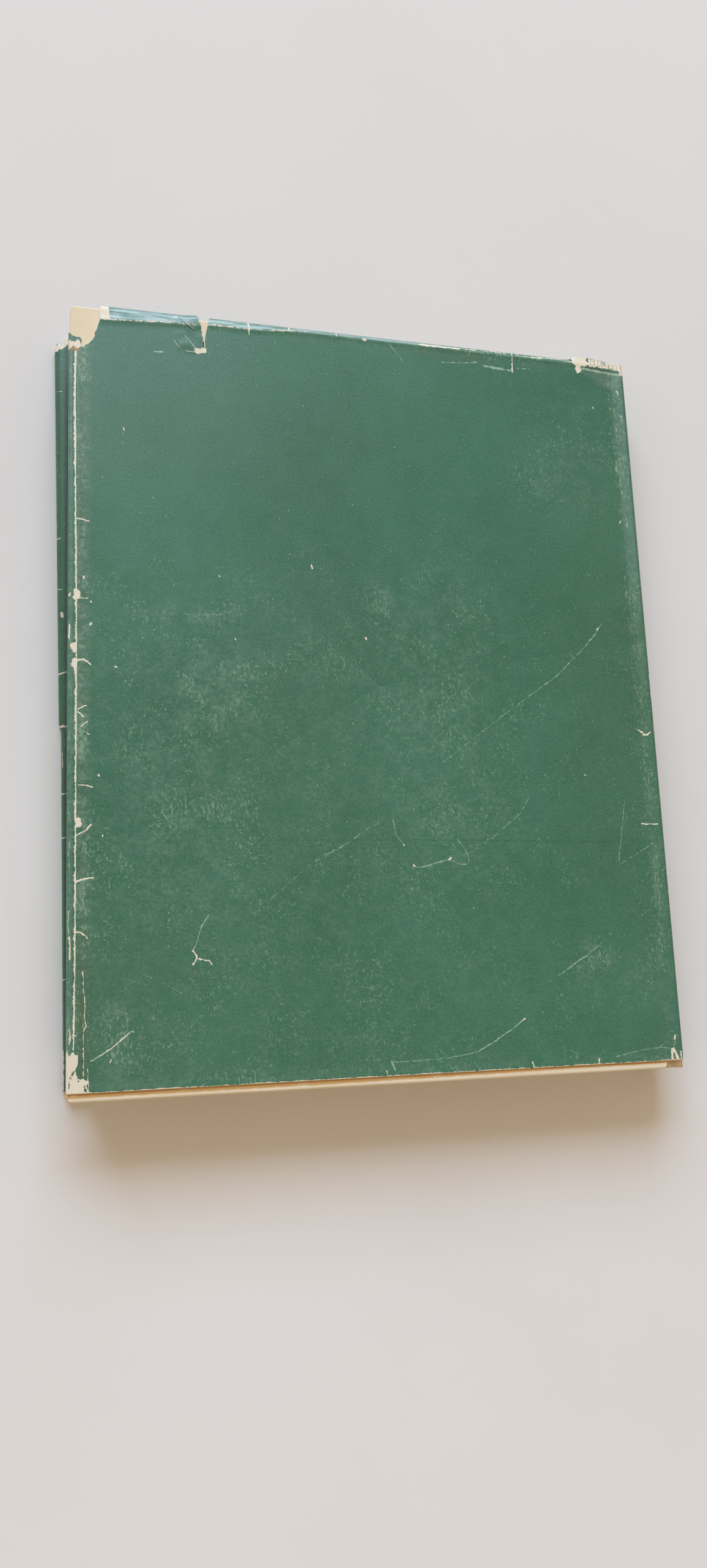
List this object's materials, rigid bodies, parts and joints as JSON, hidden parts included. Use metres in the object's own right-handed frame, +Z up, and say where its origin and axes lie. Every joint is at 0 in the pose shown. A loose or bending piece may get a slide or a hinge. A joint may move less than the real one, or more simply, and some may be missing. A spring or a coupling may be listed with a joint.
{
  "type": "hardback book",
  "caption": "Case-bound hardback book in a worn paper dust jacket, lying closed on its front cover; both covers open at the joints of a rounded spine.",
  "frame": {"origin": "middle of the book's footprint, on the surface it lies on", "axes": "+X from the fore edge to the spine, +Y from tail to head, +Z up through the thickness"},
  "size_m": [0.1966, 0.2428, 0.0208],
  "materials": {
    "jacket_paper": "coated paper, rubbed and creased",
    "case_cloth": "fine woven book cloth, toned",
    "page_paper": "edges of the pages, aged",
    "endpaper": "uncoated",
    "binder_board": "dense grey board",
    "headband": "ribbed silk bead",
    "gauze": "open starched gauze",
    "kraft_paper": "uncoated"
  },
  "bodies": {
    "book_block": {"text_block": "page_paper", "front_flyleaf": "endpaper", "back_flyleaf": "endpaper", "head_band": "headband", "tail_band": "headband", "spine_mull": "gauze", "spine_lining": "kraft_paper", "spine_inlay": "binder_board", "spine_cloth": "case_cloth", "jacket_spine": "jacket_paper"},
    "front_cover": {"front_board": "binder_board", "front_cloth": "case_cloth", "front_pastedown": "endpaper", "jacket_front": "jacket_paper"},
    "back_cover": {"back_board": "binder_board", "back_cloth": "case_cloth", "back_pastedown": "endpaper", "jacket_back": "jacket_paper"}
  },
  "joints": [
    {"name": "back_cover_hinge", "type": "hinge", "parent": "book_block", "child": "back_cover", "pos_m": [0.09446, 0, 0.0166], "axis": [0, 1, 0], "range_deg": [0, 178]},
    {"name": "front_cover_hinge", "type": "hinge", "parent": "book_block", "child": "front_cover", "pos_m": [0.09446, 0, 0.0042], "axis": [0, -1, 0], "range_deg": [0, 178]}
  ]
}
